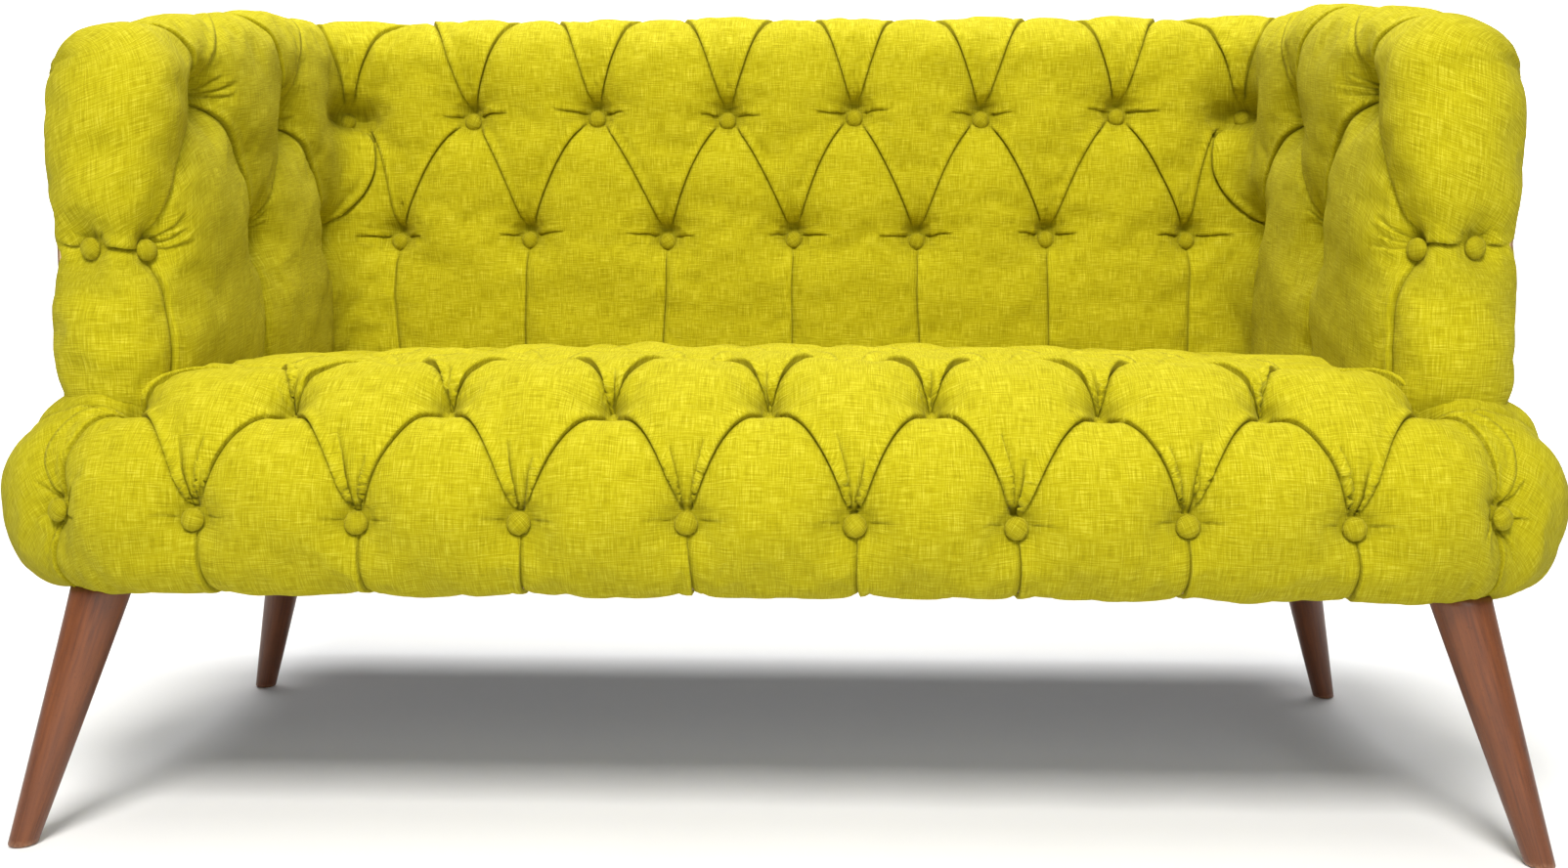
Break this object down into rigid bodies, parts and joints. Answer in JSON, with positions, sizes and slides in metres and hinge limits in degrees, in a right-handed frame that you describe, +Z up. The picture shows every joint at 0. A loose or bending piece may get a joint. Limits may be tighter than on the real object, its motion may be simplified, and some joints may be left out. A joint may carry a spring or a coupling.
{
  "type": "sofa with wooden legs",
  "caption": "Two-seat sofa with deep-buttoned seat, arms and back in woven cloth, on splayed round tapered wooden legs.",
  "frame": {"origin": "on the floor, under the middle of the sofa's bounding box", "axes": "+Z up; +X to the right of a viewer who faces the sofa, along its width; the sofa faces -Y, so its back is at +Y"},
  "size_m": [1.406, 0.74, 0.846],
  "materials": {
    "linen_fabric": "woven linen look, matte",
    "button_fabric": "woven linen look over a domed button, matte",
    "leg_walnut": "walnut stained, satin lacquer",
    "frame_timber": "planed pine, matte",
    "plywood": "sanded, matte",
    "hardboard": "pressed fibre, matte",
    "foam": "open cell foam, matte",
    "webbing": "woven strap, matte",
    "hessian": "coarse jute weave, matte",
    "dust_cloth": "spun-bonded cloth, matte",
    "twine": "waxed twine, matte",
    "zinc_steel": "zinc plated, satin"
  },
  "bodies": {
    "root": {"front_left_leg": "leg_walnut", "front_right_leg": "leg_walnut", "rear_left_leg": "leg_walnut", "rear_right_leg": "leg_walnut", "leg_hanger_bolts": "zinc_steel", "leg_inserts": "zinc_steel", "leg_plates": "zinc_steel", "leg_plate_screws": "zinc_steel", "leg_blocks": "frame_timber", "seat_front_rail": "frame_timber", "seat_rear_rail": "frame_timber", "seat_left_rail": "frame_timber", "seat_right_rail": "frame_timber", "seat_centre_stretcher": "frame_timber", "rear_leg_rail": "frame_timber", "webbing_front_to_back": "webbing", "webbing_side_to_side": "webbing", "seat_hessian": "hessian", "back_top_rail": "frame_timber", "back_left_post": "frame_timber", "back_right_post": "frame_timber", "back_centre_post": "frame_timber", "back_bottom_rail": "frame_timber", "back_board": "plywood", "left_arm_front_post": "frame_timber", "left_arm_rear_post": "frame_timber", "left_arm_top_rail": "frame_timber", "left_arm_board": "plywood", "right_arm_front_post": "frame_timber", "right_arm_rear_post": "frame_timber", "right_arm_top_rail": "frame_timber", "right_arm_board": "plywood", "arm_bolts": "zinc_steel", "outside_back_panel": "hardboard", "left_outside_arm_panel": "hardboard", "right_outside_arm_panel": "hardboard", "seat_foam": "foam", "seat_nose_foam": "foam", "back_foam": "foam", "left_arm_foam": "foam", "right_arm_foam": "foam", "seat_cover": "linen_fabric", "inside_back_cover": "linen_fabric", "left_arm_cover": "linen_fabric", "right_arm_cover": "linen_fabric", "outside_back_cover": "linen_fabric", "left_outside_arm_cover": "linen_fabric", "right_outside_arm_cover": "linen_fabric", "dust_cover": "dust_cloth", "seat_buttons": "button_fabric", "back_buttons": "button_fabric", "left_arm_buttons": "button_fabric", "right_arm_buttons": "button_fabric", "seat_button_ties": "twine", "back_button_ties": "twine", "left_arm_button_ties": "twine", "right_arm_button_ties": "twine"}
  },
  "joints": []
}
